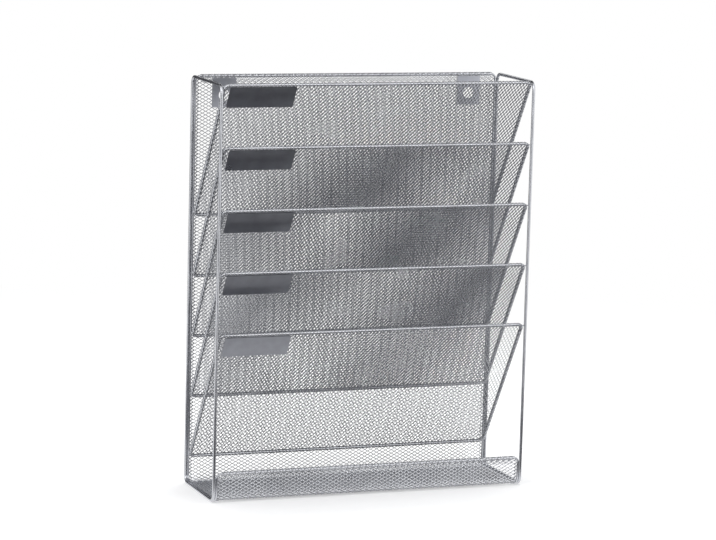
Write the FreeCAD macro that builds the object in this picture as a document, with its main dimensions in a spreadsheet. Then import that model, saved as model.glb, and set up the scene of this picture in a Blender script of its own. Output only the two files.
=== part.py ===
"""A periodical display rack: five slanted mesh pockets over a mesh tray, between two wire side loops.

The frame of the model: +X is the reader's right, +Y points back to the wall, +Z is up. The origin is on the
floor, under the middle of the rack. Everything is steel, welded into one rigid piece, in millimetres.
"""

import FreeCAD, Part
import math
import os
import Sketcher

Vector = FreeCAD.Vector

POCKETS = 5

# Driving dimensions. Every other size below is worked out from these. The mesh's diamonds, some 6 by 3.5 mm,
# are too fine for a solid, so each mesh panel is a plain sheet.
SIZES = {
    "overall_width": 320.0,
    "overall_depth": 93.0,
    "overall_height": 400.0,
    "loop_wire": 3.0,           # diameter of the side loops' wire
    "loop_bend": 7.0,           # bend radius of the side loops and of the tray, to the wire's centre
    "frame_wire": 2.2,          # diameter of the wire round every mesh panel
    "frame_bend": 5.0,          # corner radius of that wire, to its centre
    "mesh_sheet": 0.6,          # thickness of the diamond mesh
    "seat_gap": 0.1,            # room between two pieces that are welded to each other
    "pocket_pitch": 59.3,       # from one pocket's top wire down to the next
    "pocket_drop": 134.0,       # height of each slanted pocket
    "lip_rise": 26.5,           # from the tray's floor to the top wire of its lip
    "top_hem": 5.0,             # mesh turned back at the top of the back panel and of the lip
    "side_hem": 2.0,            # mesh turned back along the sides of the back panel and of the tray
    "label_width": 66.0,
    "label_height": 24.0,
    "label_sheet": 0.8,
    "label_corner": 1.5,
    "label_side_gap": 3.6,      # from the pocket's rolled side edge to the plate
    "label_top_gap": 0.3,       # from the pocket's rolled top edge to the plate
    "hanger_inset": 27.6,       # from the back mesh's side edge to the middle of the hanging hole
    "hanger_width": 24.0,
    "hanger_height": 28.5,
    "hanger_sheet": 1.0,
    "hanger_corner": 1.0,
    "hanger_hole": 11.0,
    "hanger_hole_rise": 12.0,   # from the plate's lower edge to the middle of its hole
    "mesh_hole_margin": 0.5,    # the mesh is cut back this far round a hanging hole
}

doc = FreeCAD.newDocument("PeriodicalRack")
sheet = doc.addObject("Spreadsheet::Sheet", "Sizes")
for row, (size_name, size) in enumerate(SIZES.items(), start=1):
    sheet.set(f"A{row}", size_name)
    sheet.set(f"B{row}", str(size))
    sheet.setAlias(f"B{row}", size_name)
doc.recompute()

# A mesh panel ends a seat gap short of the wire round it. Where its edge is rolled round the wire, the edge
# is a tube of this outer radius, and the flat sheet ends in the tube's wall.
LOOP_RADIUS = "(Sizes.loop_wire / 2)"
FRAME_RADIUS = "(Sizes.frame_wire / 2)"
MESH_EDGE = f"({FRAME_RADIUS} + Sizes.seat_gap)"
ROLL_RADIUS = f"({MESH_EDGE} + Sizes.mesh_sheet)"
ROLL_MIDDLE = f"({MESH_EDGE} + Sizes.mesh_sheet / 2)"

# Centre lines of the side loops, and places that follow from them. The wires of the mesh panels lie in the
# same planes, so the rack's depth and height end at the loops' wire or at the rolled edges, whichever is
# thicker.
OUTSIDE = f"max({LOOP_RADIUS}; {ROLL_RADIUS})"
LOOP_X = f"(Sizes.overall_width / 2 - {LOOP_RADIUS})"
LOOP_Y = f"(Sizes.overall_depth / 2 - {OUTSIDE})"
LOOP_INSIDE = f"({LOOP_X} - {LOOP_RADIUS} - Sizes.seat_gap)"
FLOOR_Z = LOOP_RADIUS
TOP_Z = f"(Sizes.overall_height - {OUTSIDE})"
LIP_Z = f"({FLOOR_Z} + Sizes.lip_rise)"

# The wire of the back and tray lies beside the loops' wire, and its mesh inside that.
BACK_FRAME_X = f"({LOOP_INSIDE} - {FRAME_RADIUS})"
BACK_MESH_X = f"({BACK_FRAME_X} - {MESH_EDGE})"

# Each pocket slants from the front uprights down to the front of the back mesh.
POCKET_X = f"({LOOP_INSIDE} - {ROLL_RADIUS})"
POCKET_TOP_Y = f"(-{LOOP_Y})"
POCKET_BOTTOM_Y = f"({LOOP_Y} - Sizes.mesh_sheet / 2 - Sizes.seat_gap - {ROLL_RADIUS})"
POCKET_DEPTH = f"({POCKET_BOTTOM_Y} - {POCKET_TOP_Y})"
POCKET_LENGTH = f"sqrt(({POCKET_DEPTH}) ^ 2 + Sizes.pocket_drop ^ 2)"
POCKET_LEAN = f"atan2({POCKET_DEPTH}; Sizes.pocket_drop)"

# The two hanger plates lie under the rolled top edge of the back mesh.
HANGER_X = f"({BACK_MESH_X} - Sizes.hanger_inset)"
HANGER_TOP_Z = f"({TOP_Z} - {ROLL_RADIUS} - Sizes.seat_gap)"
HANGER_HOLE_Z = f"({HANGER_TOP_Z} - Sizes.hanger_height + Sizes.hanger_hole_rise)"


def bind(target, expressions):
    """Tie each property or named constraint of target to an expression of the sheet's cells."""
    for name, expression in expressions.items():
        target.setExpression(name, expression)


def new_body(label):
    body = doc.addObject("PartDesign::Body", label)
    body.Label = label
    return body


def new_sketch(body, name, role, offset=None):
    """A sketch on one of the body's own origin planes, moved along that plane's normal by an expression."""
    sketch = body.newObject("Sketcher::SketchObject", name)
    plane = next(part for part in body.Origin.OriginFeatures if part.Role == role)
    sketch.AttachmentSupport = [(plane, "")]
    sketch.MapMode = "FlatFace"
    if offset:
        sketch.setExpression("AttachmentOffset.Base.z", offset)
    return sketch


def value(expression):
    """The number that an expression of the sheet's cells stands for now."""
    return float(sheet.evalExpression(expression))


def constrain(sketch, name, expression, *geometry):
    """A dimension with a name, bound to an expression."""
    sketch.addConstraint(Sketcher.Constraint(*geometry, value(expression)))
    sketch.renameConstraint(sketch.ConstraintCount - 1, name)
    sketch.setExpression(f"Constraints.{name}", expression)


def draw_circle(sketch, name, radius, across="0", up="0"):
    """A circle at (across, up) in the sketch."""
    centre = Vector(value(across), value(up), 0)
    circle = sketch.addGeometry(Part.Circle(centre, Vector(0, 0, 1), value(radius)))
    constrain(sketch, f"{name}Radius", radius, "Radius", circle)
    constrain(sketch, f"{name}Across", across, "DistanceX", -1, 1, circle, 3)
    constrain(sketch, f"{name}Up", up, "DistanceY", -1, 1, circle, 3)


def draw_box(sketch, left, right, bottom, top):
    """A rectangle between two places across and two places up."""
    corners = [
        Vector(value(left), value(bottom), 0),
        Vector(value(right), value(bottom), 0),
        Vector(value(right), value(top), 0),
        Vector(value(left), value(top), 0),
    ]
    lines = []
    for start, end in zip(corners, corners[1:] + corners[:1]):
        lines.append(sketch.addGeometry(Part.LineSegment(start, end)))
    for line, after in zip(lines, lines[1:] + lines[:1]):
        sketch.addConstraint(Sketcher.Constraint("Coincident", line, 2, after, 1))
    for line, direction in zip(lines, ("Horizontal", "Vertical", "Horizontal", "Vertical")):
        sketch.addConstraint(Sketcher.Constraint(direction, line))
    constrain(sketch, "Left", left, "DistanceX", -1, 1, lines[0], 1)
    constrain(sketch, "Right", right, "DistanceX", -1, 1, lines[1], 1)
    constrain(sketch, "Bottom", bottom, "DistanceY", -1, 1, lines[0], 1)
    constrain(sketch, "Top", top, "DistanceY", -1, 1, lines[2], 1)


def draw_rounded_box(sketch, left, right, bottom, top, bend):
    """A rectangle with four equal round corners, between two places across and two places up."""
    radius = value(bend)
    box = (value(left), value(right), value(bottom), value(top))
    x_left, x_right, y_bottom, y_top = box[0] + radius, box[1] - radius, box[2] + radius, box[3] - radius
    ends = [
        (Vector(x_left, box[3], 0), Vector(x_right, box[3], 0)),
        (Vector(box[1], y_top, 0), Vector(box[1], y_bottom, 0)),
        (Vector(x_right, box[2], 0), Vector(x_left, box[2], 0)),
        (Vector(box[0], y_bottom, 0), Vector(box[0], y_top, 0)),
    ]
    lines = [sketch.addGeometry(Part.LineSegment(start, end)) for start, end in ends]
    centres = [
        Vector(x_right, y_top, 0),
        Vector(x_right, y_bottom, 0),
        Vector(x_left, y_bottom, 0),
        Vector(x_left, y_top, 0),
    ]
    arcs = [draw_corner(sketch, centre, radius, -90 * turn) for turn, centre in enumerate(centres)]
    for turn, arc in enumerate(arcs):
        sketch.addConstraint(Sketcher.Constraint("Tangent", lines[turn], 2, arc, 2))
        sketch.addConstraint(Sketcher.Constraint("Tangent", lines[(turn + 1) % 4], 1, arc, 1))
    for line, direction in zip(lines, ("Horizontal", "Vertical", "Horizontal", "Vertical")):
        sketch.addConstraint(Sketcher.Constraint(direction, line))
    for arc, after in zip(arcs, arcs[1:]):
        sketch.addConstraint(Sketcher.Constraint("Equal", arc, after))
    constrain(sketch, "Bend", bend, "Radius", arcs[0])
    constrain(sketch, "Left", left, "DistanceX", -1, 1, lines[3], 1)
    constrain(sketch, "Right", right, "DistanceX", -1, 1, lines[1], 1)
    constrain(sketch, "Bottom", bottom, "DistanceY", -1, 1, lines[2], 1)
    constrain(sketch, "Top", top, "DistanceY", -1, 1, lines[0], 1)


def draw_corner(sketch, centre, radius, first_angle):
    """A quarter circle, counterclockwise from first_angle in degrees."""
    circle = Part.Circle(centre, Vector(0, 0, 1), radius)
    start, end = math.radians(first_angle), math.radians(first_angle + 90)
    return sketch.addGeometry(Part.ArcOfCircle(circle, start, end))


def draw_crossbar(sketch, half_width, top, bend):
    """An open path: up round one corner, across, and down round the other."""
    across, height, radius = value(half_width), value(top), value(bend)
    left = draw_corner(sketch, Vector(radius - across, height - radius, 0), radius, 90)
    right = draw_corner(sketch, Vector(across - radius, height - radius, 0), radius, 0)
    start = Vector(radius - across, height, 0)
    end = Vector(across - radius, height, 0)
    bar = sketch.addGeometry(Part.LineSegment(start, end))
    sketch.addConstraint(Sketcher.Constraint("Tangent", bar, 1, left, 1))
    sketch.addConstraint(Sketcher.Constraint("Tangent", bar, 2, right, 2))
    sketch.addConstraint(Sketcher.Constraint("Equal", left, right))
    sketch.addConstraint(Sketcher.Constraint("Horizontal", left, 2, left, 3))
    sketch.addConstraint(Sketcher.Constraint("Horizontal", right, 1, right, 3))
    sketch.addConstraint(Sketcher.Constraint("Symmetric", bar, 1, bar, 2, -2))
    constrain(sketch, "Bend", bend, "Radius", right)
    constrain(sketch, "HalfWidth", half_width, "DistanceX", -1, 1, right, 1)
    constrain(sketch, "Top", top, "DistanceY", -1, 1, bar, 2)


def draw_tray_path(sketch, back_top, lip_top):
    """An open path seen from the side: down the back, forward along the floor, and up the lip."""
    reach, floor, radius = value(LOOP_Y), value(FLOOR_Z), value("Sizes.loop_bend")
    bend_end, bend_top = reach - radius, floor + radius
    ends = [
        (Vector(reach, value(back_top), 0), Vector(reach, bend_top, 0)),
        (Vector(bend_end, floor, 0), Vector(-bend_end, floor, 0)),
        (Vector(-reach, bend_top, 0), Vector(-reach, value(lip_top), 0)),
    ]
    back, bottom, lip = [sketch.addGeometry(Part.LineSegment(start, end)) for start, end in ends]
    rear = draw_corner(sketch, Vector(bend_end, bend_top, 0), radius, -90)
    front = draw_corner(sketch, Vector(-bend_end, bend_top, 0), radius, 180)
    sketch.addConstraint(Sketcher.Constraint("Tangent", back, 2, rear, 2))
    sketch.addConstraint(Sketcher.Constraint("Tangent", bottom, 1, rear, 1))
    sketch.addConstraint(Sketcher.Constraint("Tangent", bottom, 2, front, 2))
    sketch.addConstraint(Sketcher.Constraint("Tangent", lip, 1, front, 1))
    sketch.addConstraint(Sketcher.Constraint("Vertical", back))
    sketch.addConstraint(Sketcher.Constraint("Horizontal", bottom))
    sketch.addConstraint(Sketcher.Constraint("Vertical", lip))
    sketch.addConstraint(Sketcher.Constraint("Equal", rear, front))
    constrain(sketch, "Bend", "Sizes.loop_bend", "Radius", rear)
    constrain(sketch, "Back", LOOP_Y, "DistanceX", -1, 1, back, 1)
    constrain(sketch, "Front", LOOP_Y, "DistanceX", lip, 2, -1, 1)
    constrain(sketch, "Floor", FLOOR_Z, "DistanceY", -1, 1, bottom, 1)
    constrain(sketch, "BackTop", back_top, "DistanceY", -1, 1, back, 1)
    constrain(sketch, "LipTop", lip_top, "DistanceY", -1, 1, lip, 2)


def add_pipe(body, name, section, path, kind="AdditivePipe"):
    """Sweep a section along a path sketch, and add it to the body or cut it from it."""
    doc.recompute()
    pipe = body.newObject(f"PartDesign::{kind}", name)
    pipe.Profile = section
    pipe.Spine = (path, [])
    return pipe


def add_pad(body, name, sketch, length, midplane=False, backwards=False):
    doc.recompute()
    pad = body.newObject("PartDesign::Pad", name)
    pad.Profile = sketch
    pad.Midplane = midplane
    pad.Reversed = backwards
    pad.setExpression("Length", length)
    return pad


def add_mirror(body, name, feature):
    """Repeat a feature on the other side of the body's YZ plane."""
    doc.recompute()
    mirror = body.newObject("PartDesign::Mirrored", name)
    mirror.Originals = [feature]
    plane = next(part for part in body.Origin.OriginFeatures if part.Role == "YZ_Plane")
    mirror.MirrorPlane = (plane, [""])
    body.Tip = mirror
    return mirror


def side_loop(label, sign):
    """A closed rectangle of round wire on its lower bar: the foot, uprights and top bar of one end."""
    body = new_body(label)
    path = new_sketch(body, "LoopPath", "YZ_Plane")
    draw_rounded_box(path, f"-{LOOP_Y}", LOOP_Y, FLOOR_Z, TOP_Z, "Sizes.loop_bend")
    section = new_sketch(body, "LoopSection", "XY_Plane", "Sizes.overall_height / 2")
    draw_circle(section, "Wire", LOOP_RADIUS, up=LOOP_Y)
    add_pipe(body, "LoopWire", section, path)
    body.setExpression("Placement.Base.x", f"{sign} * {LOOP_X}")
    return body


def back_and_tray_frame():
    """One closed wire bent to a J: up the back, across the top, and under the tray to the top of its lip."""
    body = new_body("back_and_tray_frame")
    side_top = f"({TOP_Z} - Sizes.frame_bend)"
    lip_side_top = f"({LIP_Z} - Sizes.frame_bend)"
    path = new_sketch(body, "SidePath", "YZ_Plane", BACK_FRAME_X)
    draw_tray_path(path, side_top, lip_side_top)
    section = new_sketch(body, "SideSection", "XY_Plane", side_top)
    draw_circle(section, "Wire", FRAME_RADIUS, BACK_FRAME_X, LOOP_Y)
    side = add_pipe(body, "SideWire", section, path)

    crossbars = (("Top", f"-{LOOP_Y}", LOOP_Y, TOP_Z, side_top),
                 ("Lip", LOOP_Y, f"-{LOOP_Y}", LIP_Z, lip_side_top))
    for name, plane_offset, place, height, start in crossbars:
        bar_path = new_sketch(body, f"{name}Path", "XZ_Plane", plane_offset)
        draw_crossbar(bar_path, BACK_FRAME_X, height, "Sizes.frame_bend")
        bar_section = new_sketch(body, f"{name}Section", "XY_Plane", start)
        draw_circle(bar_section, "Wire", FRAME_RADIUS, BACK_FRAME_X, place)
        add_pipe(body, f"{name}Wire", bar_section, bar_path)
    add_mirror(body, "OtherSide", side)
    return body


def back_and_tray_mesh():
    """One sheet of mesh bent to the same J, turned back at its edges and rolled over the two top wires."""
    body = new_body("back_and_tray_mesh")
    body.AllowCompound = True
    sheet_top = f"({TOP_Z} - {ROLL_MIDDLE})"
    lip_top = f"({LIP_Z} - {ROLL_MIDDLE})"
    half_sheet = "Sizes.mesh_sheet / 2"
    path = new_sketch(body, "SheetPath", "YZ_Plane")
    draw_tray_path(path, sheet_top, lip_top)
    section = new_sketch(body, "SheetSection", "XY_Plane", sheet_top)
    draw_box(section, f"-{BACK_MESH_X}", BACK_MESH_X, f"{LOOP_Y} - {half_sheet}", f"{LOOP_Y} + {half_sheet}")
    add_pipe(body, "Sheet", section, path)
    round_sheet_corners(body)

    hem_start = f"({TOP_Z} - Sizes.frame_bend)"
    hem_path = new_sketch(body, "SideHemPath", "YZ_Plane")
    draw_tray_path(hem_path, hem_start, f"({LIP_Z} - Sizes.frame_bend)")
    hem_section = new_sketch(body, "SideHemSection", "XY_Plane", hem_start)
    draw_box(hem_section, f"{BACK_MESH_X} - Sizes.side_hem", BACK_MESH_X,
             f"{LOOP_Y} + {half_sheet}", f"{LOOP_Y} + {half_sheet} + Sizes.mesh_sheet")
    hem = add_pipe(body, "SideHem", hem_section, hem_path)
    add_mirror(body, "OtherSideHem", hem)

    half_bar = f"({BACK_FRAME_X} - Sizes.frame_bend)"
    edges = (("Top", LOOP_Y, TOP_Z, sheet_top, f"-{LOOP_Y} - {half_sheet}", True),
             ("Lip", f"-{LOOP_Y}", LIP_Z, lip_top, f"{LOOP_Y} + {half_sheet}", False))
    for name, place, wire_height, edge, face, backwards in edges:
        turned = new_sketch(body, f"{name}Hem", "XZ_Plane", face)
        draw_box(turned, f"-{half_bar}", half_bar, f"{edge} - Sizes.top_hem", edge)
        add_pad(body, f"{name}TurnedBack", turned, "Sizes.mesh_sheet", backwards=backwards)
        rolled = new_sketch(body, f"{name}Roll", "YZ_Plane")
        draw_circle(rolled, "Inner", MESH_EDGE, place, wire_height)
        draw_circle(rolled, "Outer", ROLL_RADIUS, place, wire_height)
        add_pad(body, f"{name}Rolled", rolled, f"2 * {half_bar}", midplane=True)
    cut_hanging_holes(body)
    return body


def round_sheet_corners(body):
    """Round the sheet's four outer corners inside the bends of its wire."""
    doc.recompute()
    sheet_feature = body.Tip
    thickness = value("Sizes.mesh_sheet")
    half_width = value(BACK_MESH_X)
    corners = []
    for number, edge in enumerate(sheet_feature.Shape.Edges, start=1):
        along_y = abs(edge.BoundBox.YLength - thickness) < 1e-6 and abs(edge.Length - thickness) < 1e-6
        if along_y and abs(abs(edge.CenterOfMass.x) - half_width) < 1e-6:
            corners.append(f"Edge{number}")
    rounding = body.newObject("PartDesign::Fillet", "SheetCorners")
    rounding.Base = (sheet_feature, corners)
    rounding.setExpression("Radius", f"Sizes.frame_bend - {ROLL_MIDDLE}")


def cut_hanging_holes(body):
    """Openings in the back mesh behind the two hanging holes, cut backwards from the middle of the rack."""
    holes = new_sketch(body, "HangingHoles", "XZ_Plane")
    radius = "Sizes.hanger_hole / 2 + Sizes.mesh_hole_margin"
    draw_circle(holes, "Left", radius, f"-{HANGER_X}", HANGER_HOLE_Z)
    draw_circle(holes, "Right", radius, HANGER_X, HANGER_HOLE_Z)
    doc.recompute()
    full = body.Shape.Volume
    cut = body.newObject("PartDesign::Pocket", "HangingHolesCut")
    cut.Profile = holes
    cut.setExpression("Length", f"{LOOP_Y} + 2 * Sizes.mesh_sheet")
    doc.recompute()
    if body.Shape.Volume > full - 1:
        raise RuntimeError("the hanging holes cut nothing")


def hanger_plate(label, sign):
    """A flat tab with a hanging hole, against the front of the back mesh and under its top wire."""
    body = new_body(label)
    outline = new_sketch(body, "Outline", "XZ_Plane")
    draw_rounded_box(outline, "-Sizes.hanger_width / 2", "Sizes.hanger_width / 2",
                     f"{HANGER_TOP_Z} - Sizes.hanger_height", HANGER_TOP_Z, "Sizes.hanger_corner")
    draw_circle(outline, "Hole", "Sizes.hanger_hole / 2", up=HANGER_HOLE_Z)
    add_pad(body, "Plate", outline, "Sizes.hanger_sheet")
    bind(body, {
        "Placement.Base.x": f"{sign} * {HANGER_X}",
        "Placement.Base.y": f"{LOOP_Y} - Sizes.mesh_sheet / 2 - Sizes.seat_gap",
    })
    return body


def place_in_pocket(body, number):
    """Move a body from its own flat frame, +Y up the slope and +Z out of its front, to a pocket's place."""
    body.Placement = FreeCAD.Placement(Vector(0, 0, 0), FreeCAD.Rotation(Vector(1, 0, 0), 45))
    bind(body, {
        "Placement.Rotation.Angle": f"90 deg + {POCKET_LEAN}",
        "Placement.Base.y": f"({POCKET_TOP_Y} + {POCKET_BOTTOM_Y}) / 2",
        "Placement.Base.z": f"{TOP_Z} - {number - 1} * Sizes.pocket_pitch - Sizes.pocket_drop / 2",
    })


def pocket_frame(number):
    """A closed wire loop: its top wire is between the front uprights, its bottom wire at the back mesh."""
    body = new_body(f"pocket_frame_{number}")
    path = new_sketch(body, "FramePath", "XY_Plane")
    draw_rounded_box(path, f"-{POCKET_X}", POCKET_X, f"-{POCKET_LENGTH} / 2", f"{POCKET_LENGTH} / 2",
                     "Sizes.frame_bend")
    section = new_sketch(body, "FrameSection", "XZ_Plane")
    draw_circle(section, "Wire", FRAME_RADIUS, POCKET_X)
    add_pipe(body, "FrameWire", section, path)
    place_in_pocket(body, number)
    return body


def pocket_mesh(number):
    """A flat mesh panel whose edge is rolled round the pocket's wire on all four sides."""
    body = new_body(f"pocket_mesh_{number}")
    path = new_sketch(body, "RollPath", "XY_Plane")
    half_length = f"({POCKET_LENGTH} / 2)"
    draw_rounded_box(path, f"-{POCKET_X}", POCKET_X, f"-{half_length}", half_length, "Sizes.frame_bend")
    section = new_sketch(body, "RollSection", "XZ_Plane")
    draw_circle(section, "Outer", ROLL_RADIUS, POCKET_X)
    add_pipe(body, "RolledEdge", section, path)
    panel = new_sketch(body, "PanelOutline", "XY_Plane")
    draw_rounded_box(panel, f"{ROLL_MIDDLE} - {POCKET_X}", f"{POCKET_X} - {ROLL_MIDDLE}",
                     f"{ROLL_MIDDLE} - {half_length}", f"{half_length} - {ROLL_MIDDLE}",
                     f"Sizes.frame_bend - {ROLL_MIDDLE}")
    add_pad(body, "Panel", panel, "Sizes.mesh_sheet", midplane=True)
    bore = new_sketch(body, "BoreSection", "XZ_Plane")
    draw_circle(bore, "Inner", MESH_EDGE, POCKET_X)
    add_pipe(body, "RollBore", bore, path, "SubtractivePipe")
    place_in_pocket(body, number)
    return body


def label_plate(number):
    """A plain plate for a paper label, on the front of the pocket's mesh in its upper left corner."""
    body = new_body(f"label_plate_{number}")
    outline = new_sketch(body, "Outline", "XY_Plane", "Sizes.mesh_sheet / 2 + Sizes.seat_gap")
    left = f"(-{POCKET_X} + {ROLL_RADIUS} + Sizes.label_side_gap)"
    top = f"({POCKET_LENGTH} / 2 - {ROLL_RADIUS} - Sizes.label_top_gap)"
    draw_rounded_box(outline, left, f"{left} + Sizes.label_width", f"{top} - Sizes.label_height", top,
                     "Sizes.label_corner")
    add_pad(body, "Plate", outline, "Sizes.label_sheet")
    place_in_pocket(body, number)
    return body


def pocket_welds():
    """Ten round beads of weld, each between a pocket's rolled top corner and the upright beside it."""
    corner_inset = "(Sizes.frame_bend * (1 - cos(45 deg)))"
    corner_x = f"({POCKET_X} - {corner_inset})"
    corner_back = f"({corner_inset} * sin({POCKET_LEAN}))"
    across = f"({LOOP_X} - {corner_x})"
    distance = f"sqrt({across} ^ 2 + {corner_back} ^ 2)"
    bead_radius = f"(({distance} - {LOOP_RADIUS} - {ROLL_RADIUS}) / 2 - Sizes.seat_gap)"
    from_upright = f"(({LOOP_RADIUS} + Sizes.seat_gap + {bead_radius}) / {distance})"
    beads = []
    for number in range(1, POCKETS + 1):
        for side, sign in (("Left", -1), ("Right", 1)):
            bead = doc.addObject("Part::Sphere", f"Weld{side}{number}")
            bind(bead, {
                "Radius": bead_radius,
                "Placement.Base.x": f"{sign} * ({LOOP_X} - {across} * {from_upright})",
                "Placement.Base.y": f"{POCKET_TOP_Y} + {corner_back} * {from_upright}",
                "Placement.Base.z": f"{TOP_Z} - {number - 1} * Sizes.pocket_pitch"
                                    f" - {corner_inset} * cos({POCKET_LEAN})",
            })
            beads.append(bead)
    welds = doc.addObject("Part::Compound", "pocket_welds")
    welds.Label = "pocket_welds"
    welds.Links = beads
    return welds


def check_document():
    """Stop if any object of the document failed, or if one of them has no valid shape."""
    for item in doc.Objects:
        if any(word in item.State for word in ("Invalid", "Error")):
            raise RuntimeError(f"{item.Label} is {item.State}")
    for node in nodes:
        if node.Shape.isNull() or not node.Shape.isValid():
            raise RuntimeError(f"{node.Label} has no valid shape")


def check_wire(node, radius, copies):
    """Stop if a wire's volume isn't its section times the length of its paths, each in so many copies."""
    paths = [item for item in node.Group if "Path" in item.Label]
    length = sum(path.Shape.Length * number for path, number in zip(paths, copies))
    expected = math.pi * value(radius) ** 2 * length
    if abs(node.Shape.Volume - expected) > expected * 1e-4:
        raise RuntimeError(f"{node.Label} has a volume of {node.Shape.Volume:.1f}, not {expected:.1f}")


nodes = [side_loop("side_loop_left", -1), side_loop("side_loop_right", 1)]
nodes.append(back_and_tray_frame())
nodes.append(back_and_tray_mesh())
for pocket in range(1, POCKETS + 1):
    nodes.append(pocket_frame(pocket))
    nodes.append(pocket_mesh(pocket))
    nodes.append(label_plate(pocket))
nodes.append(pocket_welds())
nodes.append(hanger_plate("hanger_plate_left", -1))
nodes.append(hanger_plate("hanger_plate_right", 1))
doc.recompute()
check_document()
for node in nodes:
    if node.Label.startswith("side_loop"):
        check_wire(node, LOOP_RADIUS, (1,))
    elif node.Label.startswith("pocket_frame"):
        check_wire(node, FRAME_RADIUS, (1,))
    elif node.Label == "back_and_tray_frame":
        check_wire(node, FRAME_RADIUS, (2, 1, 1))

os.makedirs("parts", exist_ok=True)
for node in nodes:
    node.Shape.exportStep(f"parts/{node.Label}.step")
    box = node.Shape.optimalBoundingBox()
    print(f"{node.Label}: {len(node.Shape.Solids)} solids, {node.Shape.Volume:.1f} mm3,"
          f" x {box.XMin:.2f} to {box.XMax:.2f}, y {box.YMin:.2f} to {box.YMax:.2f},"
          f" z {box.ZMin:.2f} to {box.ZMax:.2f}")
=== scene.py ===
"""Looks of a periodical display rack: wire side loops, a mesh back and tray, and five slanted mesh pockets.

Sizes are in millimetres in each section, and become metres where a mesh is made.
+X is the reader's right, +Y points back to the wall, +Z is up, and the origin is on the floor under the rack.
"""

import math

import bpy
import numpy as np
from mathutils import Matrix, Vector


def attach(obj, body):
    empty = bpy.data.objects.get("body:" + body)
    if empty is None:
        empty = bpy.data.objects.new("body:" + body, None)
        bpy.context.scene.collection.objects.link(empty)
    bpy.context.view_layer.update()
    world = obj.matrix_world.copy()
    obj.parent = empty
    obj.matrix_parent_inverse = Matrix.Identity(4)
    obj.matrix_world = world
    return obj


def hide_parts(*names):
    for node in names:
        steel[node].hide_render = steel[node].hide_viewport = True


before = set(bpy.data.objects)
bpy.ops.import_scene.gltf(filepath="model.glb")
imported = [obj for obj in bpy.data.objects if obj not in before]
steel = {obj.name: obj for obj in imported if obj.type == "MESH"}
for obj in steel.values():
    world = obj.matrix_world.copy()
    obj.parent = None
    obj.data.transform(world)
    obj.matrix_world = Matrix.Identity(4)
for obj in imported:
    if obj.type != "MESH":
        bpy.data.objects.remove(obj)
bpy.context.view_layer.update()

# --------------------------------------------------------------------------------------------------
# Side loops: two closed rectangles of round steel wire, butt-welded and bent before the rack is put together.
# They are the feet, uprights and top bars. Like all of the rack, they are sprayed with silver-grey lacquer.
# --------------------------------------------------------------------------------------------------

LOOP_Y = 44.7
WIRE_SILVER = (0.60, 0.61, 0.645)
FLAKE = 0.35
PEEL_RIPPLE = 1.3
GLOSS_SPREAD = 0.06
TONE_SPREAD = 0.12


def silver_lacquer(name, colour, roughness, metallic, cloud, peel):
    """Lacquer with fine aluminium flakes: cloudy colour, uneven gloss, and a faint orange-peel surface.
    cloud is the width of its clouds and peel the height of its ripples, in millimetres.
    """
    lacquer = bpy.data.materials.new(name)
    lacquer.use_nodes = True
    tree = lacquer.node_tree
    make, join = tree.nodes.new, tree.links.new
    shader = tree.nodes["Principled BSDF"]
    shader.inputs["Metallic"].default_value = metallic
    shader.inputs["IOR"].default_value = 1.5
    place = make("ShaderNodeTexCoord")

    clouds = make("ShaderNodeTexNoise")
    clouds.inputs["Scale"].default_value = 1000 / cloud
    clouds.inputs["Detail"].default_value = 4
    flakes = make("ShaderNodeTexNoise")
    flakes.inputs["Scale"].default_value = 1000 / FLAKE
    flakes.inputs["Detail"].default_value = 2
    join(place.outputs["Object"], clouds.inputs["Vector"])
    join(place.outputs["Object"], flakes.inputs["Vector"])
    blend = make("ShaderNodeMath")
    blend.operation = "MULTIPLY_ADD"
    blend.inputs[1].default_value = 0.35
    join(flakes.outputs["Fac"], blend.inputs[0])
    join(clouds.outputs["Fac"], blend.inputs[2])
    tones = make("ShaderNodeValToRGB")
    tones.color_ramp.elements[0].position = 0.45
    tones.color_ramp.elements[1].position = 0.90
    tones.color_ramp.elements[0].color = (*(c * (1 - TONE_SPREAD) for c in colour), 1)
    tones.color_ramp.elements[1].color = (*(c * (1 + TONE_SPREAD) for c in colour), 1)
    join(blend.outputs[0], tones.inputs["Fac"])
    join(tones.outputs["Color"], shader.inputs["Base Color"])

    gloss = make("ShaderNodeMapRange")
    gloss.inputs["To Min"].default_value = roughness - GLOSS_SPREAD
    gloss.inputs["To Max"].default_value = roughness + GLOSS_SPREAD
    join(clouds.outputs["Fac"], gloss.inputs["Value"])
    join(gloss.outputs["Result"], shader.inputs["Roughness"])

    skin = make("ShaderNodeTexNoise")
    skin.inputs["Scale"].default_value = 1000 / PEEL_RIPPLE
    skin.inputs["Detail"].default_value = 3
    relief = make("ShaderNodeBump")
    relief.inputs["Strength"].default_value = 0.6
    relief.inputs["Distance"].default_value = peel / 1000
    join(place.outputs["Object"], skin.inputs["Vector"])
    join(skin.outputs["Fac"], relief.inputs["Height"])
    join(relief.outputs["Normal"], shader.inputs["Normal"])
    return lacquer


def finish_in(piece, lacquer):
    """Give a piece, or each material slot of a CAD piece, one lacquer."""
    if not piece.data.materials:
        piece.data.materials.append(lacquer)
    for place in piece.material_slots:
        place.material = lacquer


wire_lacquer = silver_lacquer("wire_lacquer", WIRE_SILVER, 0.21, 0.95, cloud=22, peel=0.03)
for side in ("left", "right"):
    finish_in(steel[f"side_loop_{side}"], wire_lacquer)

# --------------------------------------------------------------------------------------------------
# Back and tray frame: one thinner wire bent to a J, up the back and forward under the tray to the top
# of its lip. It lies against the insides of the side loops and is resistance-welded to them.
# --------------------------------------------------------------------------------------------------

finish_in(steel["back_and_tray_frame"], wire_lacquer)

# --------------------------------------------------------------------------------------------------
# Back and tray mesh: one sheet of raised diamond mesh, slit and stretched from 0.6 mm steel, and bent to
# the same J. Its edges are turned back, and rolled over the top wire of the back and of the lip. On the
# lip its strands lean the other way.
# --------------------------------------------------------------------------------------------------

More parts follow.
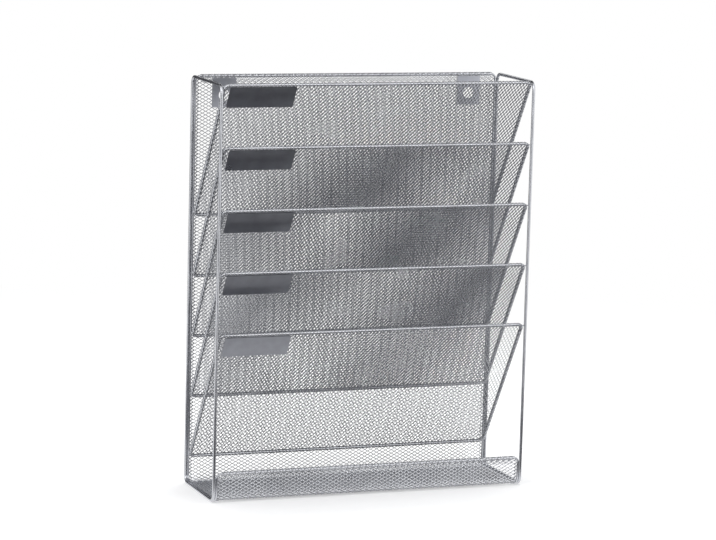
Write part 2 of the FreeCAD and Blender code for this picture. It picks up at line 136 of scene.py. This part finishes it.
MESH_SILVER = (0.62, 0.63, 0.66)
SHEET = 0.6
BACK_HALF_WIDTH = 154.6
BEND = 7.0
FLOOR_Z = 1.5
TOP_WIRE_Z = 398.2
LIP_WIRE_Z = 28.0
ROLL_OUTSIDE, ROLL_INSIDE = 1.8, 1.2
ROLL_MIDDLE = (ROLL_OUTSIDE + ROLL_INSIDE) / 2
BACK_LENGTH = TOP_WIRE_Z - ROLL_MIDDLE - FLOOR_Z - BEND
BEND_LENGTH = math.pi / 2 * BEND
FLOOR_LENGTH = 2 * (LOOP_Y - BEND)
LIP_LENGTH = LIP_WIRE_Z - ROLL_MIDDLE - FLOOR_Z - BEND
J_LENGTH = BACK_LENGTH + 2 * BEND_LENGTH + FLOOR_LENGTH + LIP_LENGTH
J_COLUMNS, J_ROWS = 98, 294


def diamond_sheet(name, a_steps, b_steps, a_size, b_size, strand, tilt, place,
                  keep=None, bends=1, first_knot=0):
    """A piece of diamond mesh. Its knots lie at every second crossing of a grid of a_steps by b_steps
    over a_size by b_size, with the long way of the diamonds along a. tilt lifts each knot's far side
    along b, as slitting does. place(a, b, w) bends the flat sheet into its place, and keep(a, b) says
    which knots are left after cutting. bends is how many straight lengths make up a strand. first_knot
    is 1 where the cut falls between two knots at the sheet's corner, else 0.
    """
    half_a, half_b = a_size / a_steps, b_size / b_steps
    reach = half_a * half_b / math.hypot(half_a, half_b)
    solid = strand / (2 * reach)
    p, q = solid * half_a, solid * half_b

    i, j = np.meshgrid(np.arange(a_steps + 1), np.arange(b_steps + 1), indexing="ij")
    knot = (i + j + first_knot) % 2 == 0
    if keep is not None:
        knot &= keep(i * half_a, j * half_b)
    count = int(knot.sum())
    number = -np.ones(knot.shape, int)
    number[knot] = np.arange(count)
    ka, kb = i[knot] * half_a, j[knot] * half_b
    around = ((p, 0, 0.0), (0, q, tilt), (-p, 0, 0.0), (0, -q, -tilt))
    flat = np.zeros((count, 4, 2, 3))
    for corner, (da, db, dw) in enumerate(around):
        for face, side in enumerate((1, -1)):
            flat[:, corner, face] = np.stack([ka + da, kb + db, np.full(count, dw + side * SHEET / 2)], 1)
    points = [flat.reshape(-1, 3)]
    index = np.arange(count * 8).reshape(count, 4, 2)
    used = count * 8

    quads, quad_maps = [], []

    def add(corners, hole=None):
        """Quads by their corners. In the map, a wall's back edge is drawn towards its hole's middle."""
        quads.append(np.stack(corners, 1))
        quad_maps.append(hole)

    east, north, west, south = range(4)
    add([index[:, c, 0] for c in (east, north, west, south)], "front")
    add([index[:, c, 1] for c in (south, west, north, east)], "back")
    starts = {1: ((east, south), (north, west)), -1: ((south, west), (east, north))}
    holes = {1: ((1, 0), (0, 1)), -1: ((0, -1), (1, 0))}
    ended = np.zeros((count, 4), bool)
    for rise in (1, -1):
        lower = number[:-1, :-1] if rise == 1 else number[:-1, 1:]
        upper = number[1:, 1:] if rise == 1 else number[1:, :-1]
        pair = (lower >= 0) & (upper >= 0)
        one, two = lower[pair], upper[pair]
        ended[one, 0 if rise == 1 else 3] = True
        ended[two, 2 if rise == 1 else 1] = True
        rails = []
        for start, end in starts[rise]:
            for face in (0, 1):
                rail = [index[one, start, face]]
                first, last = flat[one, start, face], flat[two, end, face]
                for step in range(1, bends):
                    rail.append(used + np.arange(len(one)))
                    points.append(first + (last - first) * step / bends)
                    used += len(one)
                rail.append(index[two, end, face])
                rails.append(rail)
        right_front, right_back, left_front, left_back = rails
        centres = [np.stack([ka[one] + da * half_a, kb[one] + db * half_b], 1) for da, db in holes[rise]]
        for step in range(bends):
            here, there = step, step + 1
            add([right_front[here], right_front[there], left_front[there], left_front[here]], "front")
            add([left_back[here], left_back[there], right_back[there], right_back[here]], "back")
            add([right_back[here], right_back[there], right_front[there], right_front[here]], centres[0])
            add([left_front[here], left_front[there], left_back[there], left_back[here]], centres[1])
    for corner in range(4):
        after = (corner + 1) % 4
        bare = ~ended[:, corner]
        beyond = np.array(((1, 1), (-1, 1), (-1, -1), (1, -1))[corner]) * (half_a, half_b)
        add([index[bare, corner, 1], index[bare, after, 1], index[bare, after, 0], index[bare, corner, 0]],
            np.stack([ka[bare], kb[bare]], 1) + beyond / 2)

    flat_points = np.concatenate(points)
    solid_points = place(flat_points[:, 0], flat_points[:, 1], flat_points[:, 2])
    return mesh_from_quads(name, solid_points, flat_points, quads, quad_maps, a_size, b_size)


MAP_MARGIN = 4.0
MAP_DRAW_IN = 0.3


def mesh_from_quads(name, solid_points, flat_points, quads, quad_maps, a_size, b_size):
    """Makes the mesh, with a flat map that lays the front and the back of the sheet apart."""
    corners = np.concatenate(quads)
    spread = []
    stacked = b_size <= a_size
    if stacked:
        beside = b_size + 2 * MAP_MARGIN
        span = max(a_size + 2 * MAP_MARGIN, 2 * b_size + 4 * MAP_MARGIN)
    else:
        beside = a_size + 2 * MAP_MARGIN
        span = max(b_size + 2 * MAP_MARGIN, 2 * a_size + 4 * MAP_MARGIN)
    for quad, kind in zip(quads, quad_maps):
        where = flat_points[quad][:, :, :2].copy()
        if isinstance(kind, str):
            if kind == "back":
                where[:, :, 1 if stacked else 0] += beside
        else:
            deep = flat_points[quad][:, :, 2]
            back = deep < deep.mean(1, keepdims=True)
            where += np.where(back[:, :, None], (kind[:, None, :] - where) * MAP_DRAW_IN, 0)
        spread.append(where)
    spread = np.concatenate(spread) + MAP_MARGIN
    mesh = bpy.data.meshes.new(name)
    mesh.vertices.add(len(solid_points))
    mesh.vertices.foreach_set("co", (solid_points / 1000).astype(np.float32).ravel())
    mesh.loops.add(corners.size)
    mesh.loops.foreach_set("vertex_index", corners.astype(np.int32).ravel())
    mesh.polygons.add(len(corners))
    mesh.polygons.foreach_set("loop_start", np.arange(0, corners.size, 4, dtype=np.int32))
    chart = mesh.uv_layers.new(name="OFBake")
    chart.data.foreach_set("uv", (spread / span).astype(np.float32).ravel())
    mesh.update(calc_edges=True)
    mesh.validate()
    return mesh


def along_j(a, b, w):
    """The back and tray's sheet: b runs down the back, forward along the floor and up the lip, and w
    points outwards.
    """
    turn_1, turn_2 = BACK_LENGTH, BACK_LENGTH + BEND_LENGTH
    turn_3, turn_4 = turn_2 + FLOOR_LENGTH, turn_2 + FLOOR_LENGTH + BEND_LENGTH
    angle = np.clip(b - turn_1, 0, BEND_LENGTH) / BEND + np.clip(b - turn_3, 0, BEND_LENGTH) / BEND
    out_y, out_z = np.cos(angle), -np.sin(angle)
    middle_y = np.where(b < (turn_2 + turn_3) / 2, LOOP_Y - BEND, BEND - LOOP_Y)
    middle_z = FLOOR_Z + BEND
    y = middle_y + BEND * out_y
    z = middle_z + BEND * out_z
    z = z + np.clip(turn_1 - b, 0, None) + np.clip(b - turn_4, 0, None)
    y = np.where((b > turn_2) & (b < turn_3), LOOP_Y - BEND - (b - turn_2), y)
    return np.stack([a - BACK_HALF_WIDTH, y + w * out_y, z + w * out_z], 1)


def put_up(name, mesh, node):
    """A finished piece of mesh in place of a CAD node."""
    piece = bpy.data.objects.new(name, mesh)
    bpy.context.scene.collection.objects.link(piece)
    finish_in(piece, mesh_lacquer)
    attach(piece, "root")
    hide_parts(node)


HANGER_X, HANGER_HOLE_Z = 127.0, 379.8
HANGER_HOLE = 11.0
PUNCHED_WIDER = 0.9
STRAND = 0.52
TILT = 0.42
FLOOR_ROW, LIP_ROW = 224, 280
BACK_MIDDLE_ROW = 112


def clear_of_hanging_holes(a, b):
    """The mesh is punched out behind the two hanging holes, after it is put on its wire."""
    clear = np.ones(a.shape, bool)
    for side in (-1, 1):
        away = np.hypot(a - BACK_HALF_WIDTH - side * HANGER_X, TOP_WIRE_Z - ROLL_MIDDLE - b - HANGER_HOLE_Z)
        clear &= away > HANGER_HOLE / 2 + PUNCHED_WIDER
    return clear


def j_piece(name, first_row, last_row, keep=None, tilt=TILT):
    """One stretch of the back and tray's sheet, between two rows of knots."""
    row = J_LENGTH / J_ROWS
    start = first_row * row
    rows = last_row - first_row

    def kept(a, b):
        whole = np.ones(a.shape, bool)
        return whole if keep is None else keep(a, b + start)

    mesh = diamond_sheet(name, J_COLUMNS, rows, 2 * BACK_HALF_WIDTH, rows * row, STRAND, tilt,
                         lambda a, b, w: along_j(a, b + start, w), kept)
    put_up(name, mesh, "back_and_tray_mesh")


mesh_lacquer = silver_lacquer("mesh_lacquer", MESH_SILVER, 0.26, 0.92, cloud=30, peel=0.02)
j_piece("back_mesh_upper", 0, BACK_MIDDLE_ROW, clear_of_hanging_holes)
j_piece("back_mesh_lower", BACK_MIDDLE_ROW, FLOOR_ROW)
j_piece("tray_mesh", FLOOR_ROW, LIP_ROW)
j_piece("lip_mesh", LIP_ROW, J_ROWS, tilt=-TILT)


HEM_STRAND = 0.8
CURL_START, CURL_WRAP = 7, 345


def rolled_edge(name, node, length, pitch, around, bends, frame_at, long_way_along):
    """A hem: diamond mesh curled round its wire. pitch is a diamond's length along the wire, and around
    is the number of half diamonds round it. frame_at(s) gives the wire's middle, its outward way and its
    front way at each place along it. The curl's angles are measured from inwards over the front.
    """
    steps_along = 2 * max(1, round(length / pitch))
    curl = math.radians(CURL_WRAP) * ROLL_MIDDLE

    def curled(along, round_it, w):
        angle = math.radians(CURL_START) + round_it / ROLL_MIDDLE
        middle, outward, front = frame_at(along)
        radius = (ROLL_MIDDLE + w)[:, None]
        return middle + radius * (-np.cos(angle)[:, None] * outward + np.sin(angle)[:, None] * front)

    if long_way_along:
        mesh = diamond_sheet(name, steps_along, around, length, curl, HEM_STRAND, 0.0, curled, bends=bends)
    else:
        mesh = diamond_sheet(name, around, steps_along, curl, length, HEM_STRAND, 0.0,
                             lambda a, b, w: curled(b, a, w), bends=bends)
    put_up(name, mesh, node)


FRAME_BEND = 5.0
J_WIRE_X = 155.8
HEM_HALF = J_WIRE_X - FRAME_BEND


def top_bar(y, z):
    """The level wire at the top of the back or of the lip. Its edge points up and its front to the reader."""
    def at(along):
        middle = np.stack([along - HEM_HALF, np.full(along.shape, y), np.full(along.shape, z)], 1)
        upwards = np.broadcast_to(np.array((0.0, 0.0, 1.0)), middle.shape)
        forwards = np.broadcast_to(np.array((0.0, -1.0, 0.0)), middle.shape)
        return middle, upwards, forwards
    return at


J_DIAMOND = 6.253
for hem, y, z in (("back_top_hem", LOOP_Y, TOP_WIRE_Z), ("lip_top_hem", -LOOP_Y, LIP_WIRE_Z)):
    rolled_edge(hem, "back_and_tray_mesh", 2 * HEM_HALF, J_DIAMOND, 5, 4, top_bar(y, z), True)

TOP_TURNED, TOP_TURNED_STEPS = 5.0, 96
TOP_TURNED_OFF = 0.95
SIDE_TURNED = 2.4
SIDE_TURNED_OFF = 0.85
TURNED_TILT = 0.1


# Narrow second layers of mesh, turned back flat against the sheet behind its edges.
for hem, y, z in (("back_top_turned", LOOP_Y - TOP_TURNED_OFF, TOP_WIRE_Z),
                  ("lip_turned", -LOOP_Y + TOP_TURNED_OFF, LIP_WIRE_Z)):
    layer = diamond_sheet(
        hem, TOP_TURNED_STEPS, 3, 2 * HEM_HALF, TOP_TURNED, STRAND, TURNED_TILT,
        lambda a, b, w, y=y, z=z: np.stack([a - HEM_HALF, y + w, z - ROLL_MIDDLE - b], 1))
    put_up(hem, layer, "back_and_tray_mesh")
for sign, side in ((-1, "left"), (1, "right")):
    layer = diamond_sheet(
        f"j_side_turned_{side}", 1, J_ROWS, SIDE_TURNED, J_LENGTH, STRAND, TURNED_TILT,
        lambda a, b, w, sign=sign: along_j(BACK_HALF_WIDTH + sign * (BACK_HALF_WIDTH - a), b,
                                           w + SIDE_TURNED_OFF))
    put_up(f"j_side_turned_{side}", layer, "back_and_tray_mesh")

# --------------------------------------------------------------------------------------------------
# Hanger plates: two stamped tabs of 1 mm sheet with a hole for a wall screw, spot-welded to the front of
# the back mesh just under its rolled top edge.
# --------------------------------------------------------------------------------------------------

PLATE_SILVER = (0.355, 0.363, 0.40)
plate_lacquer = silver_lacquer("plate_lacquer", PLATE_SILVER, 0.30, 0.9, cloud=14, peel=0.03)
for side in ("left", "right"):
    finish_in(steel[f"hanger_plate_{side}"], plate_lacquer)

# --------------------------------------------------------------------------------------------------
# Pockets: five closed wire loops, each with a mesh panel whose edge is rolled round the wire on all four
# sides. Each slants from between the front uprights down to the back panel. The panels are cut from the
# sheet where it comes, so the diamonds of some lie half a diamond off the others'.
# --------------------------------------------------------------------------------------------------

POCKET_X = 155.1
POCKET_TOP_Y, POCKET_BOTTOM_Y = -44.7, 42.5
POCKET_DROP, POCKET_PITCH = 134.0, 59.3
POCKET_LENGTH = math.hypot(POCKET_BOTTOM_Y - POCKET_TOP_Y, POCKET_DROP)
UP_SLOPE = np.array([0, POCKET_TOP_Y - POCKET_BOTTOM_Y, POCKET_DROP]) / POCKET_LENGTH
OUT_FRONT = np.array([0, -UP_SLOPE[2], UP_SLOPE[1]])
ACROSS = np.array([1.0, 0, 0])
POCKET_STRAND = 0.50
POCKET_COLUMNS, POCKET_ROWS = 176, 53
CORNER_TRIM = 0.8
CORNER_LENGTH = math.pi / 2 * FRAME_BEND
BAR_LENGTH = 2 * (POCKET_X - FRAME_BEND)
SIDE_LENGTH = POCKET_LENGTH - 2 * FRAME_BEND
LOOP_LENGTH = 2 * (BAR_LENGTH + SIDE_LENGTH) + 4 * CORNER_LENGTH


def pocket_middle(number):
    """The middle of a pocket's panel. The top pocket is number 1."""
    return np.array([0, (POCKET_TOP_Y + POCKET_BOTTOM_Y) / 2,
                     TOP_WIRE_Z - (number - 1) * POCKET_PITCH - POCKET_DROP / 2])


def in_pocket(middle, across, up, out):
    """Points of a pocket's own flat frame, put in their place on the rack."""
    return middle + across[:, None] * ACROSS + up[:, None] * UP_SLOPE + out[:, None] * OUT_FRONT


def inside_corner_bends(across, up):
    """True away from the outsides of the panel's four rounded corners."""
    beyond_x = np.maximum(np.abs(across) - (POCKET_X - FRAME_BEND), 0)
    beyond_y = np.maximum(np.abs(up) - (POCKET_LENGTH / 2 - FRAME_BEND), 0)
    return np.hypot(beyond_x, beyond_y) < FRAME_BEND + CORNER_TRIM


def loop_place(s):
    """The wire of a pocket's frame, from the left end of its top bar, clockwise from the front. In the
    pocket's own flat frame: (across, up) of its middle, and the way that points out of the panel.
    """
    starts = np.cumsum([0, BAR_LENGTH, CORNER_LENGTH, SIDE_LENGTH, CORNER_LENGTH, BAR_LENGTH,
                        CORNER_LENGTH, SIDE_LENGTH])
    s = np.mod(s, starts[-1] + CORNER_LENGTH)
    part = np.searchsorted(starts, s, side="right") - 1
    t = s - starts[part]
    half_x, half_y = POCKET_X - FRAME_BEND, POCKET_LENGTH / 2 - FRAME_BEND
    turned = np.where(part % 2 == 1, t / CORNER_LENGTH * 90, 0)
    turn = np.array([90, 90, 0, 0, -90, -90, -180, -180])[part] - turned
    out = np.stack([np.cos(np.radians(turn)), np.sin(np.radians(turn))], 1)
    centre_x = np.array([-1, 1, 1, 1, 1, -1, -1, -1])[part] * half_x
    centre_y = np.array([1, 1, 1, -1, -1, -1, -1, 1])[part] * half_y
    ways = np.array([[1, 0], [0, 0], [0, -1], [0, 0], [-1, 0], [0, 0], [0, 1], [0, 0]])
    run = ways[part] * t[:, None]
    return np.stack([centre_x, centre_y], 1) + run + out * FRAME_BEND, out


def pocket_hem(name, node, middle, first, length, pitch, around, bends, long_way_along):
    """One side's hem of a pocket, from the place first along its wire."""
    def frame_at(along):
        spot, out = loop_place(first + along)
        zero = np.zeros(len(along))
        centre = in_pocket(middle, spot[:, 0], spot[:, 1], zero)
        outward = out[:, :1] * ACROSS + out[:, 1:] * UP_SLOPE
        return centre, outward, np.broadcast_to(OUT_FRONT, centre.shape)
    rolled_edge(name, node, length, pitch, around, bends, frame_at, long_way_along)


# The top and bottom hems take in their corners, and their diamonds stand across the wire. Each is
# (side, first, length, pitch, steps round the wire, bends in a strand, whether the diamonds lie along it).
POCKET_HEMS = (
    ("top", LOOP_LENGTH - CORNER_LENGTH, BAR_LENGTH + 2 * CORNER_LENGTH, 3.5, 3, 6, False),
    ("bottom", BAR_LENGTH + CORNER_LENGTH + SIDE_LENGTH, BAR_LENGTH + 2 * CORNER_LENGTH, 3.5, 3, 6, False),
    ("right", BAR_LENGTH + CORNER_LENGTH, SIDE_LENGTH, 6.0, 5, 4, True),
    ("left", 2 * (BAR_LENGTH + CORNER_LENGTH) + SIDE_LENGTH + CORNER_LENGTH, SIDE_LENGTH, 6.0, 5, 4, True),
)

for number in range(1, 6):
    middle = pocket_middle(number)
    node = f"pocket_mesh_{number}"
    # The lowest panel is put in with its sheet the other way round.
    tilt = -TILT if number == 5 else TILT
    first_knot = number // 3 % 2
    finish_in(steel[f"pocket_frame_{number}"], wire_lacquer)
    panel = diamond_sheet(
        f"pocket_panel_{number}", POCKET_ROWS, POCKET_COLUMNS, POCKET_LENGTH, 2 * POCKET_X,
        POCKET_STRAND, tilt,
        lambda a, b, w, middle=middle: in_pocket(middle, b - POCKET_X, a - POCKET_LENGTH / 2, w),
        lambda a, b: inside_corner_bends(b - POCKET_X, a - POCKET_LENGTH / 2), first_knot=first_knot)
    put_up(f"pocket_panel_{number}", panel, node)
    for side, *measures in POCKET_HEMS:
        pocket_hem(f"pocket_{side}_hem_{number}", node, middle, *measures)

# --------------------------------------------------------------------------------------------------
# Label plates: plain stamped plates of thin sheet that hold paper labels. Each is spot-welded to the
# upper left of its pocket's front.
# --------------------------------------------------------------------------------------------------

for number in range(1, 6):
    finish_in(steel[f"label_plate_{number}"], plate_lacquer)

# --------------------------------------------------------------------------------------------------
# Pocket welds: a bead of weld between each top corner of a pocket and the upright beside it. They are
# what carries the pockets' tops, and are lacquered over with the rest.
# --------------------------------------------------------------------------------------------------

finish_in(steel["pocket_welds"], wire_lacquer)

# --------------------------------------------------------------------------------------------------
# The studio: a white paper sweep under even light, three soft boxes, and dark felt cards that only the
# lacquer's gloss sees. They give the round wires their dark edges, as cards do beside shining goods. The
# card under the tray is painted shadow: it stands for the tray's contact shadow, as that gloss sees it.
# --------------------------------------------------------------------------------------------------

world = bpy.data.worlds.new("studio")
bpy.context.scene.world = world
world.use_nodes = True
world_nodes, world_join = world.node_tree.nodes, world.node_tree.links.new
soft_light = world_nodes["Background"]
soft_light.inputs["Color"].default_value = (0.98, 0.99, 1.0, 1)
soft_light.inputs["Strength"].default_value = 0.42
white = world_nodes.new("ShaderNodeBackground")
white.inputs["Color"].default_value = (1, 1, 1, 1)
white.inputs["Strength"].default_value = 1.0


def seen_or_mirrored(nodes, join):
    """One where the studio is seen straight, in a mirror or through glass, else nought."""
    ray = nodes.new("ShaderNodeLightPath")
    total = ray.outputs["Is Camera Ray"]
    for kind in ("Is Glossy Ray", "Is Transmission Ray"):
        either = nodes.new("ShaderNodeMath")
        either.operation = "ADD"
        either.use_clamp = True
        join(total, either.inputs[0])
        join(ray.outputs[kind], either.inputs[1])
        total = either.outputs[0]
    return ray, total


mixed = world_nodes.new("ShaderNodeMixShader")
world_join(seen_or_mirrored(world_nodes, world_join)[1], mixed.inputs["Fac"])
world_join(soft_light.outputs[0], mixed.inputs[1])
world_join(white.outputs[0], mixed.inputs[2])
world_join(mixed.outputs[0], world_nodes["World Output"].inputs["Surface"])


def stage_sheet(name, corners, material):
    """A flat sheet of the studio, by its corners."""
    sheet_mesh = bpy.data.meshes.new(name)
    sheet_mesh.from_pydata(corners, [], [tuple(range(len(corners)))])
    sheet_mesh.materials.append(material)
    sheet_object = bpy.data.objects.new(name, sheet_mesh)
    bpy.context.scene.collection.objects.link(sheet_object)
    return sheet_object


floor_paper = bpy.data.materials.new("floor_paper")
floor_paper.use_nodes = True
paper_nodes, paper_join = floor_paper.node_tree.nodes, floor_paper.node_tree.links.new
paper = paper_nodes["Principled BSDF"]
paper.inputs["Base Color"].default_value = (0.86, 0.86, 0.865, 1)
paper.inputs["Roughness"].default_value = 0.7
paper.inputs["Specular IOR Level"].default_value = 0.2
ray, mirrored = seen_or_mirrored(paper_nodes, paper_join)
glow = paper_nodes.new("ShaderNodeEmission")
glow_for_camera = paper_nodes.new("ShaderNodeMath")
glow_for_camera.operation = "MULTIPLY"
glow_for_camera.inputs[1].default_value = 0.26
paper_join(ray.outputs["Is Camera Ray"], glow_for_camera.inputs[0])
paper_join(glow_for_camera.outputs[0], glow.inputs["Strength"])
lit = paper_nodes.new("ShaderNodeAddShader")
paper_join(paper.outputs[0], lit.inputs[0])
paper_join(glow.outputs[0], lit.inputs[1])

# The paper fades to plain white between 0.45 and 1.2 metres away, so that no edge or horizon shows.
spot = paper_nodes.new("ShaderNodeTexCoord")
distance = paper_nodes.new("ShaderNodeVectorMath")
distance.operation = "LENGTH"
fade = paper_nodes.new("ShaderNodeMapRange")
fade.interpolation_type = "SMOOTHSTEP"
fade.inputs["From Min"].default_value = 0.45
fade.inputs["From Max"].default_value = 1.2
paper_join(spot.outputs["Object"], distance.inputs[0])
paper_join(distance.outputs["Value"], fade.inputs["Value"])
near_camera = paper_nodes.new("ShaderNodeMath")
near_camera.operation = "MULTIPLY"
paper_join(fade.outputs["Result"], near_camera.inputs[0])
paper_join(ray.outputs["Is Camera Ray"], near_camera.inputs[1])
only_mirrored = paper_nodes.new("ShaderNodeMath")
only_mirrored.operation = "SUBTRACT"
paper_join(mirrored, only_mirrored.inputs[0])
paper_join(ray.outputs["Is Camera Ray"], only_mirrored.inputs[1])
plain_white = paper_nodes.new("ShaderNodeMath")
plain_white.operation = "ADD"
plain_white.use_clamp = True
paper_join(near_camera.outputs[0], plain_white.inputs[0])
paper_join(only_mirrored.outputs[0], plain_white.inputs[1])
sweep = paper_nodes.new("ShaderNodeEmission")
sweep.inputs["Strength"].default_value = 1.0
paper_surface = paper_nodes.new("ShaderNodeMixShader")
paper_join(plain_white.outputs[0], paper_surface.inputs["Fac"])
paper_join(lit.outputs[0], paper_surface.inputs[1])
paper_join(sweep.outputs[0], paper_surface.inputs[2])
paper_join(paper_surface.outputs[0], paper_nodes["Material Output"].inputs["Surface"])
stage_sheet("floor", [(-6, -6, 0), (6, -6, 0), (6, 6, 0), (-6, 6, 0)], floor_paper)


def soft_box(name, place, aim, size, power):
    """A soft lamp, as wide and as high as size says, turned towards a point."""
    lamp_data = bpy.data.lights.new(name, "AREA")
    lamp_data.shape = "RECTANGLE"
    lamp_data.size, lamp_data.size_y = size
    lamp_data.energy = power
    lamp = bpy.data.objects.new(name, lamp_data)
    bpy.context.scene.collection.objects.link(lamp)
    lamp.location = place
    lamp.rotation_euler = (Vector(aim) - Vector(place)).to_track_quat("-Z", "Y").to_euler()
    return lamp


soft_box("left_lamp", (-2.4, -1.2, 1.4), (0, 0, 0.2), (2.0, 2.0), 21)
soft_box("right_lamp", (1.1, -2.7, 1.0), (0, 0, 0.2), (1.0, 1.8), 9)
top_lamp = soft_box("top_lamp", (0.1, 0.2, 2.4), (0, 0, 0.1), (1.5, 1.5), 46)
top_lamp.visible_glossy = False

felt = bpy.data.materials.new("dark_felt")
felt.use_nodes = True
felt_shader = felt.node_tree.nodes["Principled BSDF"]
felt_shader.inputs["Base Color"].default_value = (0.05, 0.05, 0.055, 1)
felt_shader.inputs["Roughness"].default_value = 0.9
felt_shader.inputs["Specular IOR Level"].default_value = 0.1


def felt_card(name, corners):
    """A dark card that only the gloss of the lacquer sees."""
    card = stage_sheet(name, corners, felt)
    card.visible_camera = False
    card.visible_shadow = False
    card.visible_diffuse = False
    card.visible_transmission = False


felt_card("card_before_tray", [
    (-0.60, -0.09, 0.001), (-0.60, -0.45, 0.001),
    (0.90, -0.45, 0.001), (0.90, -0.09, 0.001),
])
# Painted shadow: this dark card stands for the contact shadow under the tray. Without it, the gloss of the
# mesh and wires sees plain white paper there.
felt_card("painted_shadow_card_under_tray", [
    (-0.145, -0.038, 0.0005), (0.145, -0.038, 0.0005),
    (0.145, 0.06, 0.0005), (-0.145, 0.06, 0.0005),
])
felt_card("card_to_front", [
    (-0.30, -0.42, 0.001), (-1.75, -2.35, 0.001),
    (-0.20, -2.90, 0.001), (0.10, -0.42, 0.001),
])
felt_card("card_at_front", [(-1.9, -2.5, 0), (-0.1, -3.1, 0), (-0.1, -3.1, 1.6), (-1.9, -2.5, 1.6)])
felt_card("card_behind_left", [(-2.3, 1.3, 0), (-0.4, 2.5, 0), (-0.4, 2.5, 1.8), (-2.3, 1.3, 1.8)])
felt_card("card_behind", [(-0.4, 2.5, 0), (1.4, 2.3, 0), (1.4, 2.3, 1.3), (-0.4, 2.5, 1.3)])
felt_card("card_on_floor_behind", [
    (-1.9, 1.0, 0.001), (1.4, 1.0, 0.001), (1.4, 2.3, 0.001),
    (-0.4, 2.5, 0.001), (-2.3, 1.3, 0.001),
])
felt_card("card_overhead", [(-1.6, -0.35, 2.1), (1.8, -0.35, 2.1), (1.8, 2.4, 2.1), (-1.6, 2.4, 2.1)])

# --------------------------------------------------------------------------------------------------
# The camera: it stands in front of the rack, to its left and a little above, and leans slightly.
# FOCAL is its focal length in pixels of a picture PICTURE_WIDTH wide.
# --------------------------------------------------------------------------------------------------

SENSOR = 36
PICTURE_WIDTH = 716
FOCAL = 3044.44
CAMERA_PLACE = (-1.03913, -2.72821, 0.67460)

yaw, pitch, roll = (math.radians(angle) for angle in (20.831, -8.995, 1.576))
ahead = Vector((math.sin(yaw) * math.cos(pitch), math.cos(yaw) * math.cos(pitch), math.sin(pitch)))
level = Vector((math.cos(yaw), -math.sin(yaw), 0))
upright = level.cross(ahead)
right = math.cos(roll) * level + math.sin(roll) * upright
up = math.cos(roll) * upright - math.sin(roll) * level
camera_data = bpy.data.cameras.new("camera")
camera_data.sensor_width = SENSOR
camera_data.lens = FOCAL / PICTURE_WIDTH * SENSOR
camera = bpy.data.objects.new("camera", camera_data)
bpy.context.scene.collection.objects.link(camera)
turn = Matrix((right, up, -ahead)).transposed().to_4x4()
camera.matrix_world = Matrix.Translation(Vector(CAMERA_PLACE)) @ turn
bpy.context.scene.camera = camera
bpy.context.scene.view_settings.view_transform = "Standard"
